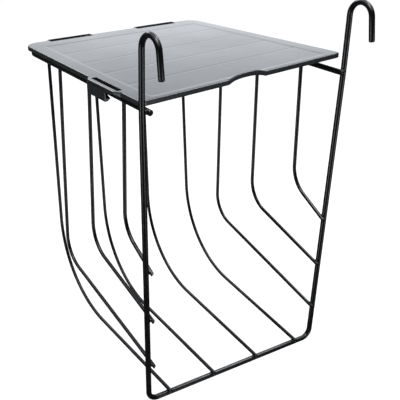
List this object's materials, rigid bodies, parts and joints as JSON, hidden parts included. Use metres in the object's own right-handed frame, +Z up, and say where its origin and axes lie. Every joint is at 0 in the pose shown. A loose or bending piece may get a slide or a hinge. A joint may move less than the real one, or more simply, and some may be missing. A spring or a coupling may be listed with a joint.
{
  "type": "hanging hay rack with lid",
  "caption": "Hanging wire hay rack for rabbits: open-backed bent-wire basket with two hooks and a hinged, latching plastic lid.",
  "frame": {"origin": "middle of the bottom cross wire's wall-side face, where the rack rests against the cage", "axes": "+X to the right seen from the wall, +Y from the wall into the basket, +Z up towards the hooks"},
  "size_m": [0.2044, 0.2495, 0.3306],
  "materials": {
    "black_wire": "gloss black powder coat over steel wire",
    "lid_plastic": "satin moulded anthracite plastic"
  },
  "bodies": {
    "rack": {"hanging_frame": "black_wire", "rim_wire": "black_wire", "side_rib_left_1": "black_wire", "side_rib_left_2": "black_wire", "side_rib_left_3": "black_wire", "side_rib_right_1": "black_wire", "side_rib_right_2": "black_wire", "side_rib_right_3": "black_wire", "back_rib_1": "black_wire", "back_rib_2": "black_wire", "back_rib_3": "black_wire", "back_rib_4": "black_wire"},
    "lid": {"lid_shell": "lid_plastic", "hinge_clip_left": "lid_plastic", "hinge_clip_right": "lid_plastic"},
    "latch": {"latch_tab": "lid_plastic"}
  },
  "joints": [
    {"name": "lid_hinge", "type": "hinge", "parent": "rack", "child": "lid", "pos_m": [0, 0.2155, 0.267], "axis": [-1, 0, 0], "range_deg": [0, 105]},
    {"name": "latch_flex", "type": "hinge", "parent": "lid", "child": "latch", "pos_m": [-0.1012, 0.0686, 0.2712], "axis": [0, 1, 0], "range_deg": [0, 14]}
  ]
}
